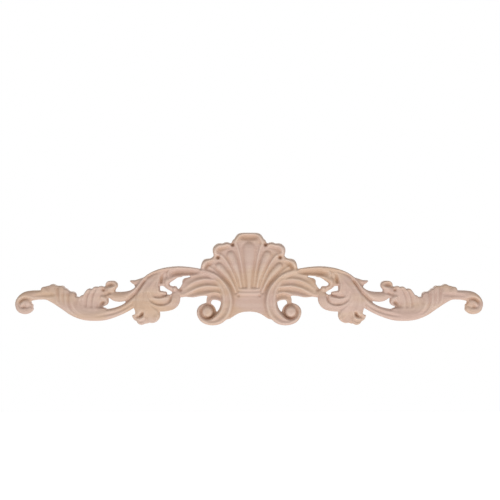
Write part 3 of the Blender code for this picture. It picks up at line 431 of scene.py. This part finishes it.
def big_leaf(sheet):
    """The large leaf, with lobes that fan out from under the arched stem."""
    floor(sheet, [(133, -22, 8), (122, -28, 8), (110, -27, 6), (102, -25, 5), (97, -21, 4)], 9.6)
    floor(sheet, [(117.5, -6, 3), (119, -12, 4.6)], 7)
    stroke(sheet, [(110, 8, 4, 12), (119, 2, 7.5, 12.5), (126.6, -8, 11, 13), (133, -20, 12.5, 13),
                   (136.5, -31, 10, 12.5), (137.4, -42, 7.5, 12)], 7.5, flat_profile)
    floor(sheet, [(135, -30, 8), (128, -42, 12), (130, -45.4, 10.6)], 9)
    stroke(sheet, [(137, -8, 1.5, 12.5), (144, -20, 2.6, 13.4), (146, -31, 3.2, 13),
                   (143.6, -40, 3.0, 12), (143.4, -46, 3.4, 11), (147, -47.8, 2.8, 10.5),
                   (149.6, -46.2, 1.0, 9)], 8, leaf_profile_other)
    stroke(sheet, [(132, -4, 2, 13), (140, -17, 3.4, 14), (142, -30, 4.6, 14), (139.4, -42, 5.4, 13),
                   (138, -52, 6.6, 12)], 8, flat_profile)
    floor(sheet, [(141, -51, 4), (145.4, -49.6, 3.4)], 9)
    stroke(sheet, [(127, -2, 2, 13.4), (135.6, -14, 3.6, 14.4), (137, -27, 5.6, 14.4),
                   (131, -38, 8.4, 13.8), (124.6, -45.8, 10.4, 12.8)], 8, leaf_profile)
    stroke(sheet, [(122, 1, 2, 13.6), (131, -10, 3.4, 14.8), (134, -21, 4.2, 15), (130, -30, 4.6, 14.8),
                   (120, -35.8, 4.6, 14.2), (109, -36.5, 4.9, 13.6), (98.4, -32.6, 6.0, 13),
                   (94, -25.8, 5.6, 12.5), (94.4, -20.4, 3.8, 11)], 9.4, leaf_profile)
    stroke(sheet, [(118, 3.4, 1.6, 13.4), (126, -5.6, 3, 14.8), (129.4, -15, 3.6, 15),
                   (126, -23.4, 3.8, 14.6), (117, -27, 4.2, 13.8), (109, -26.2, 4.4, 13),
                   (104.6, -23.2, 3, 12.4), (104, -20.6, 1.6, 11)], 10.4, leaf_profile)
    stroke(sheet, [(116.4, 3.4, 1.4, 12.6), (119.8, -4, 3.4, 14.2), (120.2, -11, 5, 14.6),
                   (117.2, -17, 3.8, 14), (111.6, -17.6, 2.8, 13.2), (107.6, -17.8, 2.4, 12)],
           10.4, leaf_profile)
    groove(sheet, [(106.4, -19, 0.9, 0.6), (109.8, -21, 1.3, 1), (116.4, -22.4, 1.4, 1),
                   (123.4, -21.8, 1.4, 0.9), (128.6, -17.6, 1.1, 0.4)], 1.5)
    groove(sheet, [(100.4, -21.4, 1.2, 0.8), (100.8, -26.4, 1.6, 1), (105, -30.4, 1.7, 1),
                   (112, -32, 1.7, 1), (120, -31, 1.5, 0.7), (127, -26.6, 1.1, 0.3)], 2.6)
    floor(sheet, [(129, -49.6, 6), (132, -51, 6)], 8)
    groove(sheet, [(131.5, -43, 0.8, 0.3), (131.6, -48, 1.2, 0.8), (131, -54, 1.2, 0.8),
                   (130.6, -58, 1, 0.6)], 1.6)
    # the drilled eye of the leaf, with a bud under it
    groove(sheet, [(136.6, -42.4, 1.7, 0.7), (137.4, -45, 2.4, 1), (140.4, -47.2, 1.8, 0.8),
                   (143.6, -47.4, 1.6, 0.6)], 8)
    groove(sheet, [(133.6, -51, 1, 0.8), (137.6, -54, 1.3, 1), (144, -52.6, 1, 0.8)], 2.4)
    knob(sheet, 137.6, -50.2, 2.4, 13, 9.5)


def arched_stem(sheet):
    """The thin stem that arches over the leaf, with a sprout, and ends in a curled cap."""
    floor(sheet, [(114, 9, 3), (124, 5.6, 3.6), (131, 0.6, 4), (136.5, -6.4, 4), (142.6, -14.6, 4)], 11.5)
    groove(sheet, [(108, 11.4, 1.0, 0.1), (116, 10.4, 1.3, 0.4), (123.4, 7.7, 1.6, 0.7),
                   (130.8, 2.8, 1.8, 0.9), (136.3, -4.8, 2.1, 1), (142.2, -13.2, 2.2, 1),
                   (149, -20.6, 2.2, 1), (153.8, -25, 2, 0.9), (157.5, -28.2, 1.6, 0.6)], 4.4)
    floor(sheet, [(151, -23, 3), (155.6, -27.4, 3)], 6.5)
    floor(sheet, [(141.4, -4, 3), (144.6, -7, 2.9)], 7)
    stroke(sheet, [(64, 12.8, 1.4, 12.4), (76, 14.4, 1.8, 13.4), (91, 15.1, 2.2, 14),
                   (104, 14.2, 2.0, 14.4), (114.2, 12.2, 1.8, 14.2), (124, 8.9, 1.4, 13.8),
                   (131.9, 3.9, 1.5, 13.4), (138.4, -3.3, 2.1, 13.2), (144.6, -11.5, 2.6, 13),
                   (151.3, -17.3, 3.8, 12.6), (160, -21.6, 6.2, 12.4), (170, -22.2, 6.4, 12.4),
                   (177, -19.8, 4.8, 12)], 7)
    stroke(sheet, [(132, 1.8, 2.2, 11), (139.6, -1.2, 2.6, 10.8), (146, -3.7, 3.1, 10),
                   (150.4, -2.7, 1.9, 9.2), (153, -1.7, 0.8, 8)], 6.5)
    groove(sheet, [(109, 9.4, 0.9, 0.3), (111.4, 5.4, 1.8, 0.9), (112.6, 0.6, 2.3, 1),
                   (113, -3.6, 1.9, 0.8)], 4.5)
    stroke(sheet, [(176.8, -12, 5.4, 12), (178.4, -19, 5, 11.5)], 7.5)
    stroke(sheet, [(174.6, -7.4, 6.0, 14.2), (178.8, -7.4, 5.9, 14.2)], 8)
    groove(sheet, [(172.6, -6.6, 2, 0.4), (176.6, -6.6, 3.6, 1), (181, -7.4, 3.8, 1),
                   (184.6, -9.2, 2.4, 0.6)], 6.4)
    groove(sheet, [(176.4, -17, 1.5, 0.6), (180, -17.6, 2.4, 1), (184, -19.4, 1.8, 0.6)], 3.8)


def main_stem(sheet):
    """The heavy lower stem, from the leaf to the curl at the end of the carving."""
    stroke(sheet, [(133, -10, 5, 12.5), (142, -20, 6, 12.5), (150.4, -30.4, 6.2, 12.5),
                   (160, -37.2, 5.8, 12.5), (172, -42.2, 6.2, 12.5), (186, -45.5, 7.2, 13),
                   (200, -46.5, 7, 13), (213, -44.5, 7.5, 13), (224.6, -38.6, 8.6, 13),
                   (235.6, -30.8, 8.8, 12.5), (247, -23.6, 8.6, 12.5), (258, -20, 6.8, 12.5),
                   (268, -19.9, 6.2, 12.5), (278, -20.6, 6.6, 12.5), (287, -22.8, 6.9, 12.6),
                   (293.2, -29.2, 6.5, 12.6), (292.3, -36.8, 6.2, 12.4), (286, -39.8, 5, 12),
                   (281.4, -37.8, 4.2, 11.6)], 6, flat_profile)
    groove(sheet, [(150, -31, 1.2, 0.6), (160, -37.6, 1.8, 1), (172, -42.4, 2.2, 1),
                   (184, -45.2, 2.0, 0.8), (194, -46.4, 1.4, 0.3)], 2.0)
    groove(sheet, [(276, -26.2, 1.2, 0.3), (282, -25, 2.2, 0.8), (288.4, -24.9, 2.6, 1),
                   (293.2, -28.2, 2.8, 1), (294, -32.6, 2.4, 0.5), (291.2, -35.2, 2.2, 0.6),
                   (286.6, -34.4, 2.3, 1), (282, -33.8, 1.9, 0.7), (279, -32.6, 1.2, 0.2)], 4.8)
    knob(sheet, 284.8, -30.2, 5, 12.2, 8.8)
    floor(sheet, [(280.4, -33.6, 3), (281, -35, 3)], 9.5)
    # where the stem leaves the leaf
    groove(sheet, [(149.6, -28.6, 1.2, 0.4), (149.2, -32, 1.7, 1), (148.6, -35.4, 1.3, 0.7)], 2.6)


def fans(sheet):
    """Two sheaths of small leaf lobes that stand on the lower stem."""
    floor(sheet, [(190, -20, 5), (191, -34, 6), (204, -32, 8), (213, -33, 6)], 9.6)
    floor(sheet, [(186.4, -13.2, 4.4), (185.4, -22, 4.4), (185.4, -28, 4.2), (188.6, -32, 4)], 9.4)
    floor(sheet, [(186, -39.4, 3.4), (194, -40, 4.4), (204, -40.4, 4.6), (214, -38, 4.6), (220, -34, 4)],
          12)
    floor(sheet, [(219, -34, 5), (223, -30, 4)], 9)
    floor(sheet, [(216.4, -27, 4.2), (222.4, -26.6, 4.2), (222, -34, 4)], 11.4)
    floor(sheet, [(228, -30, 7), (240, -24, 9), (252, -18, 7)], 11)
    floor(sheet, [(228, -20.4, 4.4), (231.6, -18.6, 4), (240, -14, 4.6), (245.4, -12.4, 4.6),
                  (258, -12.6, 4.8)], 11)
    first_fan = (
        [(197.4, -44, 1.4, 13), (197.6, -38, 2.6, 13), (198, -30, 3.4, 12.8), (195, -20, 4.4, 13.2),
         (190.4, -13.0, 5.0, 13)],
        [(203.4, -45, 1.4, 13), (204.4, -38.4, 2.6, 13), (204.8, -30, 3.4, 12.8),
         (202, -20.4, 4.3, 13.6), (196.8, -13.6, 4.9, 13.4)],
        [(209.4, -45, 1.4, 13), (210.6, -38.4, 2.6, 13), (211.6, -30, 3.4, 12.8),
         (209.4, -21.8, 4.0, 13.4), (204.8, -16.2, 4.9, 13.2)],
        [(213.4, -44.6, 1.4, 12.8), (216, -37, 2.6, 12.8), (216.4, -29, 3.2, 12.6),
         (213.6, -23.6, 3.9, 12.4)],
    )
    for rows in first_fan:
        stroke(sheet, rows, 9.4, leaf_profile)
    second_fan = (
        [(200, -46.4, 1.6, 12.8), (210, -44.6, 2.6, 13.2), (219.4, -39.6, 3.6, 13.8),
         (226, -32, 4.2, 14.4), (227.4, -25, 4.8, 14), (226.6, -20.2, 4.9, 13.4)],
        [(222, -45.6, 1.4, 13.6), (230, -38.4, 2.6, 14.2), (234.6, -30, 3.4, 14.4),
         (235.2, -22, 3.4, 14.2), (235.8, -14.4, 3.4, 13.4)],
        [(232, -39.6, 1.4, 13.4), (238.6, -32, 2.6, 14), (240.8, -24, 3.2, 14.2),
         (241.2, -15, 3.6, 13.8), (240.6, -11.6, 4.0, 13.2)],
        [(240, -34.6, 1.4, 13.2), (246, -27, 2.8, 13.8), (248.2, -19.6, 3.6, 13.8),
         (252, -10.9, 5.3, 13.4)],
        [(246, -27.4, 2, 12.8), (253, -21, 3.6, 13), (258.4, -16.4, 4.2, 13), (263, -13.1, 4.2, 12.6)],
    )
    for rows in second_fan:
        stroke(sheet, rows, 10.6, round_profile)
    # soft veins between the ribs of both fans
    first_veins = (
        [(195, -12, 0.9, 0.5), (199.4, -18, 1.3, 1), (201.4, -25, 1.3, 1), (200.8, -33, 1.3, 1),
         (199.6, -39, 1.1, 0.6)],
        [(204, -15, 0.9, 0.5), (207.6, -22, 1.3, 1), (208.6, -30, 1.3, 1), (207.4, -37, 1.3, 0.8)],
        [(190, -20, 0.9, 0.3), (193.4, -27, 1.2, 0.8), (193.8, -34, 1.5, 1), (192.6, -39, 1.2, 0.6)],
        [(211, -21, 0.8, 0.3), (214, -28, 1.1, 0.8), (213.6, -34, 1.4, 1), (211.6, -39, 1.1, 0.6)],
    )
    for rows in first_veins:
        groove(sheet, rows, 1.2)
    second_veins = (
        [(231.2, -17.5, 0.9, 0.5), (231.4, -24, 1.3, 1), (230.4, -31, 1.4, 1), (226.6, -38.6, 1.2, 0.7),
         (221, -43.6, 0.9, 0.3)],
        [(237.4, -12, 0.8, 0.4), (238.2, -20, 1.2, 0.9), (237.4, -28, 1.2, 1), (234.4, -34.4, 1.0, 0.6),
         (230, -39.4, 0.8, 0.3)],
        [(245.4, -10.4, 0.9, 0.5), (244.2, -18, 1.3, 1), (243.4, -26, 1.2, 0.8), (240, -32.4, 0.9, 0.3)],
        [(223.4, -29.6, 0.9, 0.4), (222, -34.4, 1.3, 1), (217.4, -39.6, 1.3, 0.9), (210, -43.4, 1.0, 0.4)],
    )
    for rows in second_veins:
        groove(sheet, rows, 1.2)
    # along the stem beyond the fans
    groove(sheet, [(248, -19, 2, 0.4), (256, -19.4, 3.2, 1), (265, -20, 3.4, 1), (275, -21, 2.4, 0.5)], 1.6)
    # the first fan's lower end curls around a hollow, with a slit between it and the stem
    stroke(sheet, [(188.6, -22.5, 2.4, 12.2), (184.8, -24.6, 3, 11.8), (183.4, -28.6, 3, 11.6),
                   (184.6, -31.4, 2.2, 11.4)], 9.4)
    groove(sheet, [(184.6, -28.6, 1.4, 0.4), (187.2, -29.8, 2.7, 1), (189.6, -32, 2.4, 0.9),
                   (190.4, -35.8, 1.6, 0.5)], 4.2)
    cut(sheet, [(179, -34.4, 1.3, 0), (183.4, -35, 1.2, 0), (187.2, -35.4, 0.9, 0)])
    hole(sheet, 186.8, -13.2, 2.2, 6)


def softened(values, reach):
    """Gaussian blur of a grid, with the reach given in samples."""
    radius = int(BLUR_CUTOFF * reach) + 1
    offsets = np.arange(-radius, radius + 1)
    weights = np.exp(-0.5 * (offsets / reach) ** 2)
    weights /= weights.sum()
    for axis in (0, 1):
        # the carving goes on past x = 0 as its own mirror image
        pads = [(0, 0), (0, 0)]
        pads[axis] = (radius, radius)
        mode = "reflect" if axis == 0 else "edge"
        padded = np.pad(values, pads, mode=mode)
        count = values.shape[axis]
        values = sum(
            weight * np.take(padded, range(radius + offset, radius + offset + count), axis)
            for weight, offset in zip(weights, offsets)
        )
    return values


def averaged(inside, ground, reach):
    """Mean height around each place, of what lies inside the outline."""
    return softened(ground, reach) / np.maximum(softened(inside, reach), LEAST_SHARE)


def rolled_rim(mask):
    """Share of the roll at each place, from 0 at the outline, and the highest that it can be there."""
    share = np.clip(mask / (ROLL / UNIT), 0, 1)
    wall = WALL / RISE
    return share, wall + (SHEET_HEIGHT - wall) * np.sqrt(1 - (1 - share) ** 2)


def carve(step):
    """Draw the right half of the carving on a sheet with the given distance between samples."""
    sheet = Sheet(step)
    main_stem(sheet)
    fans(sheet)
    shell_plate(sheet)
    shell_rims(sheet)
    shell_tongues(sheet)
    shell_root(sheet)
    arm(sheet)
    side_scroll(sheet)
    wing(sheet)
    big_leaf(sheet)
    arched_stem(sheet)
    scroll_eye(sheet)
    sheet.height *= SHEET_HEIGHT / sheet.height.max()
    # round the outline's sharpest corners, as a carver's knife leaves them
    sheet.mask = softened(np.clip(sheet.mask, -MARGIN, ROLL / UNIT + MARGIN), CORNER_REACH / step)
    # roll the carving down to the wall along the outline, and keep a floor under the deepest cuts
    _, limit = rolled_rim(sheet.mask)
    sheet.height = np.clip(sheet.height, LEAST_GROUND * WALL / RISE, limit)
    return sheet


def finish_sheet(sheet):
    """Sand the carving lightly and measure how deep each place lies among its surroundings."""
    sheet.mask -= SANDED_OFF
    inside = (sheet.mask > 0).astype(float)
    ground = np.where(sheet.mask > 0, sheet.height, 0.0)
    rim, limit = rolled_rim(sheet.mask)
    sheet.height = np.minimum(averaged(inside, ground, SANDED / sheet.step), limit)
    ground = np.where(sheet.mask > 0, sheet.height, 0.0)
    # these measures set the painted shade in the hollows and the painted highlight on the crests of the
    # wood's colour
    hollows = []
    for reach in (NEAR_HOLLOW, WIDE_HOLLOW):
        around = averaged(inside, ground, reach / sheet.step)
        # the rounding along the outline doesn't count as a hollow
        hollows.append(np.clip((around - sheet.height) / reach, -1, 1) * rim)
    sheet.near_hollow, sheet.wide_hollow = hollows


def outlined_grid(sheet):
    """Half of the carved face, cut along the outline, in metres."""
    count_x, count_z = sheet.grid_x.shape
    grid = bmesh.new()
    bmesh.ops.create_grid(grid, x_segments=count_x - 1, y_segments=count_z - 1, size=0.5)
    height_layer = grid.verts.layers.float.new("height")
    near_layer = grid.verts.layers.float.new("near_hollow")
    wide_layer = grid.verts.layers.float.new("wide_hollow")
    wall = WALL / RISE
    for vert in grid.verts:
        column = round((vert.co.x + 0.5) * (count_x - 1))
        row = round((vert.co.y + 0.5) * (count_z - 1))
        # the mask stands in for the depth until the outline is cut
        vert.co = (sheet.x[column], -sheet.mask[column, row], sheet.z[row])
        vert[height_layer] = sheet.height[column, row]
        vert[near_layer] = sheet.near_hollow[column, row]
        vert[wide_layer] = sheet.wide_hollow[column, row]
    # what lies more than two samples outside the outline isn't needed for the cut
    far = [vert for vert in grid.verts if vert.co.y > 2 * sheet.step]
    bmesh.ops.delete(grid, geom=far, context="VERTS")
    everything = grid.verts[:] + grid.edges[:] + grid.faces[:]
    bmesh.ops.bisect_plane(grid, geom=everything, dist=ON_OUTLINE, plane_co=(0, 0, 0),
                           plane_no=(0, 1, 0), clear_outer=True)
    loose = [vert for vert in grid.verts if not vert.link_faces]
    bmesh.ops.delete(grid, geom=loose, context="VERTS")
    for vert in grid.verts:
        height = wall if vert.co.y > -ON_OUTLINE else vert[height_layer]
        vert.co = (vert.co.x * UNIT, -height * RISE, (vert.co.z - SHEET_MIDDLE) * UNIT)
    for face in grid.faces:
        face.smooth = True
    return grid


def apply_modifiers(item):
    """Replace an object's mesh by the result of its modifiers."""
    graph = bpy.context.evaluated_depsgraph_get()
    result = bpy.data.meshes.new_from_object(item.evaluated_get(graph))
    item.modifiers.clear()
    item.data = result


def close_back(item):
    """Run the outline straight back to the flat back and close the back with flat triangles."""
    solid = bmesh.new()
    solid.from_mesh(item.data)
    border = [edge for edge in solid.edges if edge.is_boundary]
    pulled = bmesh.ops.extrude_edge_only(solid, edges=border)["geom"]
    for part in pulled:
        if isinstance(part, bmesh.types.BMVert):
            part.co.y = 0.0
        if isinstance(part, bmesh.types.BMFace):
            part.smooth = True
    rear = [edge for edge in solid.edges if edge.is_boundary]
    for edge in rear:
        edge.smooth = False
    filled = bmesh.ops.triangle_fill(solid, edges=rear, use_beauty=True, use_dissolve=False,
                                     normal=(0, 1, 0))
    for part in filled["geom"]:
        if isinstance(part, bmesh.types.BMFace):
            part.smooth = False
    bmesh.ops.recalc_face_normals(solid, faces=solid.faces)
    solid.to_mesh(item.data)
    solid.free()


def carved_onlay():
    sheet = carve(SAMPLE / UNIT)
    finish_sheet(sheet)
    grid = outlined_grid(sheet)
    mesh = bpy.data.meshes.new("carved_onlay")
    grid.to_mesh(mesh)
    grid.free()
    onlay = bpy.data.objects.new("carved_onlay", mesh)
    bpy.context.scene.collection.objects.link(onlay)
    mirror = onlay.modifiers.new("other half", "MIRROR")
    mirror.merge_threshold = MERGE_DISTANCE
    apply_modifiers(onlay)
    close_back(onlay)
    return onlay


# Wood. A scale is in bumps per metre along the length, the depth and the height.
BLOTCH_SCALE = (15, 32, 36)
STREAK_SCALE = (5, 90, 130)
FIBRE_SCALE = (45, 700, 1000)
PORE_SCALE = (160, 1500, 2200)
PINK = (0.660, 0.465, 0.390, 1)
TAN = (0.665, 0.460, 0.325, 1)
PALE = (0.770, 0.600, 0.500, 1)
DUSK = (0.520, 0.345, 0.250, 1)
PORE_BROWN = (0.26, 0.14, 0.085, 1)
# painted shade: the browns that darken the wide hollows and the narrow cuts
HOLLOW_PAINTED_SHADE = (0.45, 0.27, 0.165, 1)
CREASE_PAINTED_SHADE = (0.34, 0.18, 0.10, 1)
# painted highlight: the pale tone laid on the crests
CREST_PAINTED_HIGHLIGHT = (0.80, 0.64, 0.53, 1)
WOOD_SHINE = 0.35
# roughness of the smoothest and of the coarsest fibre
SMOOTH_FIBRE = 0.56
COARSE_FIBRE = 0.70
# strength of the fibre's bumps, and their height in metres
FIBRE_STRENGTH = 0.25
FIBRE_HEIGHT = 0.00025
# numbers of the mix node's sockets when it mixes colours
MIX_SHARE = 0
MIX_FIRST = 6
MIX_SECOND = 7
MIX_RESULT = 2


def node(tree, kind, **values):
    made = tree.nodes.new(kind)
    for name, value in values.items():
        setattr(made, name, value)
    return made


def stretched_noise(tree, coordinates, scale, detail, roughness):
    """Noise whose grain follows the length. The scale is in bumps per metre along x, y and z."""
    mapping = node(tree, "ShaderNodeMapping")
    mapping.inputs["Scale"].default_value = scale
    tree.links.new(coordinates, mapping.inputs["Vector"])
    noise = node(tree, "ShaderNodeTexNoise")
    noise.inputs["Scale"].default_value = 1.0
    noise.inputs["Detail"].default_value = detail
    noise.inputs["Roughness"].default_value = roughness
    tree.links.new(mapping.outputs["Vector"], noise.inputs["Vector"])
    return noise.outputs["Fac"]


def remapped(tree, value, low, high, out_low, out_high):
    """A value moved smoothly from one range to another."""
    span = node(tree, "ShaderNodeMapRange", interpolation_type="SMOOTHSTEP")
    for name, number in (("From Min", low), ("From Max", high), ("To Min", out_low), ("To Max", out_high)):
        span.inputs[name].default_value = number
    tree.links.new(value, span.inputs["Value"])
    return span.outputs["Result"]


def mixed(tree, share, first, second):
    """Mix of two colours. The first is a socket or a fixed colour, and the second is a fixed colour."""
    mix = node(tree, "ShaderNodeMix", data_type="RGBA")
    if isinstance(first, tuple):
        mix.inputs[MIX_FIRST].default_value = first
    else:
        tree.links.new(first, mix.inputs[MIX_FIRST])
    mix.inputs[MIX_SECOND].default_value = second
    tree.links.new(share, mix.inputs[MIX_SHARE])
    return mix.outputs[MIX_RESULT]


def wood():
    material = bpy.data.materials.new("raw carved wood")
    material.use_nodes = True
    tree = material.node_tree
    shader = tree.nodes["Principled BSDF"]
    coordinates = node(tree, "ShaderNodeTexCoord").outputs["Object"]
    blotch = stretched_noise(tree, coordinates, BLOTCH_SCALE, 3, 0.5)
    streak = stretched_noise(tree, coordinates, STREAK_SCALE, 5, 0.55)
    fibre = stretched_noise(tree, coordinates, FIBRE_SCALE, 4, 0.6)
    pore = stretched_noise(tree, coordinates, PORE_SCALE, 2, 0.5)
    near = node(tree, "ShaderNodeAttribute", attribute_name="near_hollow").outputs["Fac"]
    wide = node(tree, "ShaderNodeAttribute", attribute_name="wide_hollow").outputs["Fac"]
    # each layer lies over the last one: its pattern, the pattern's low and high value, the share
    # of the layer's colour at each of them, and the colour
    layers = (
        (blotch, 0.38, 0.62, 0.0, 1.0, TAN),
        (streak, 0.35, 0.75, 0.0, 0.55, PALE),
        (fibre, 0.45, 0.75, 0.0, 0.30, DUSK),
        (pore, 0.64, 0.74, 0.0, 0.45, PORE_BROWN),
        # painted shade darkens the hollows and the narrow cuts to a browner tone, and a painted highlight
        # makes the crests paler
        (wide, 0.0, 0.8, 0.0, 0.60, HOLLOW_PAINTED_SHADE),
        (near, 0.1, 0.9, 0.0, 0.30, CREASE_PAINTED_SHADE),
        (near, -0.5, -0.05, 0.35, 0.0, CREST_PAINTED_HIGHLIGHT),
    )
    colour = PINK
    for pattern, low, high, share_low, share_high, layer in layers:
        share = remapped(tree, pattern, low, high, share_low, share_high)
        colour = mixed(tree, share, colour, layer)
    tree.links.new(colour, shader.inputs["Base Color"])
    rough = remapped(tree, fibre, 0.3, 0.7, SMOOTH_FIBRE, COARSE_FIBRE)
    tree.links.new(rough, shader.inputs["Roughness"])
    shader.inputs["Specular IOR Level"].default_value = WOOD_SHINE
    bump = node(tree, "ShaderNodeBump")
    bump.inputs["Strength"].default_value = FIBRE_STRENGTH
    bump.inputs["Distance"].default_value = FIBRE_HEIGHT
    tree.links.new(fibre, bump.inputs["Height"])
    tree.links.new(bump.outputs["Normal"], shader.inputs["Normal"])
    return material


def plain(name, colour, roughness):
    material = bpy.data.materials.new(name)
    material.use_nodes = True
    shader = material.node_tree.nodes["Principled BSDF"]
    shader.inputs["Base Color"].default_value = colour
    shader.inputs["Roughness"].default_value = roughness
    return material


onlay = carved_onlay()
onlay.data.materials.clear()
onlay.data.materials.append(wood())
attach(onlay, "root")
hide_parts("onlay")

# Floor and light
FLOOR_LEVEL = -1.0
FLOOR_SIZE = 12.0
FLOOR_COLOUR = (0.93, 0.93, 0.93, 1)
FLOOR_ROUGHNESS = 0.9
ROOM_COLOUR = (1, 1, 1, 1)
ROOM_LIGHT = 1.0
DIM_LIGHT = 0.42
# direction in which the surroundings are brightest
BRIGHT_SIDE = (0, 0.5, -0.85)
# how far a direction has to lean that way to be among the dimmest and among the brightest
DIM_LEAN = -0.7
BRIGHT_LEAN = 0.25
# place, width and power of the lamp that lifts the undersides of the carving
LOW_LAMP_PLACE = (0.1, -1.0, -0.7)
LOW_LAMP_SIZE = 0.5
LOW_LAMP_POWER = 7
# the lamp that whitens the floor behind the carving, and the point under it
FLOOR_LAMP_PLACE = (0, 4.5, 2)
FLOOR_LAMP_TARGET = (0, 4.5, FLOOR_LEVEL)
FLOOR_LAMP_SIZE = 3
FLOOR_LAMP_POWER = 150


def pale_floor():
    mesh = bpy.data.meshes.new("floor")
    grid = bmesh.new()
    bmesh.ops.create_grid(grid, x_segments=1, y_segments=1, size=FLOOR_SIZE / 2)
    grid.to_mesh(mesh)
    grid.free()
    item = bpy.data.objects.new("floor", mesh)
    item.location = (0, 0, FLOOR_LEVEL)
    item.data.materials.append(plain("pale floor", FLOOR_COLOUR, FLOOR_ROUGHNESS))
    bpy.context.scene.collection.objects.link(item)
    return item


def white_room():
    """White surroundings, bright behind and below and dimmer towards the front and overhead."""
    world = bpy.data.worlds.new("white room")
    world.use_nodes = True
    tree = world.node_tree
    direction = node(tree, "ShaderNodeTexCoord").outputs["Generated"]
    towards = node(tree, "ShaderNodeVectorMath", operation="DOT_PRODUCT")
    towards.inputs[1].default_value = BRIGHT_SIDE
    tree.links.new(direction, towards.inputs[0])
    lean = towards.outputs["Value"]
    strength = remapped(tree, lean, DIM_LEAN, BRIGHT_LEAN, DIM_LIGHT, ROOM_LIGHT)
    tree.links.new(strength, tree.nodes["Background"].inputs["Strength"])
    tree.nodes["Background"].inputs["Color"].default_value = ROOM_COLOUR
    return world


def soft_light(name, place, size, target, power):
    """A large square lamp that looks at a place."""
    lamp = bpy.data.lights.new(name, "AREA")
    lamp.shape = "SQUARE"
    lamp.size = size
    lamp.energy = power
    item = bpy.data.objects.new(name, lamp)
    item.location = place
    ray = Vector(target) - Vector(place)
    item.rotation_euler = ray.to_track_quat("-Z", "Y").to_euler()
    bpy.context.scene.collection.objects.link(item)


ground = pale_floor()
bpy.context.scene.world = white_room()
bpy.context.scene.view_settings.view_transform = "Standard"
soft_light("low front light", LOW_LAMP_PLACE, LOW_LAMP_SIZE, (0, 0, 0), LOW_LAMP_POWER)
soft_light("light on the floor", FLOOR_LAMP_PLACE, FLOOR_LAMP_SIZE, FLOOR_LAMP_TARGET, FLOOR_LAMP_POWER)

# Camera. The photograph's frame is 500 pixels wide and the onlay takes up 467 of them.
PICTURE = 500
ONLAY_PIXELS = 467
LENS = 85.0
SENSOR = 36.0
# the middle of the picture lies this far above the middle of the onlay
VIEW_RISE = 0.0372
# and this far to its right
VIEW_SIDE = 0.0012


def front_camera():
    """A camera square in front of the carving, as far away as gives it its size in the picture."""
    picture_width = LENGTH * PICTURE / ONLAY_PIXELS
    camera_data = bpy.data.cameras.new("camera")
    camera_data.lens = LENS
    camera_data.sensor_width = SENSOR
    camera = bpy.data.objects.new("camera", camera_data)
    camera.location = (VIEW_SIDE, -picture_width * LENS / SENSOR - WALL, VIEW_RISE)
    camera.rotation_euler = (math.pi / 2, 0, 0)
    bpy.context.scene.collection.objects.link(camera)
    return camera


bpy.context.scene.camera = front_camera()
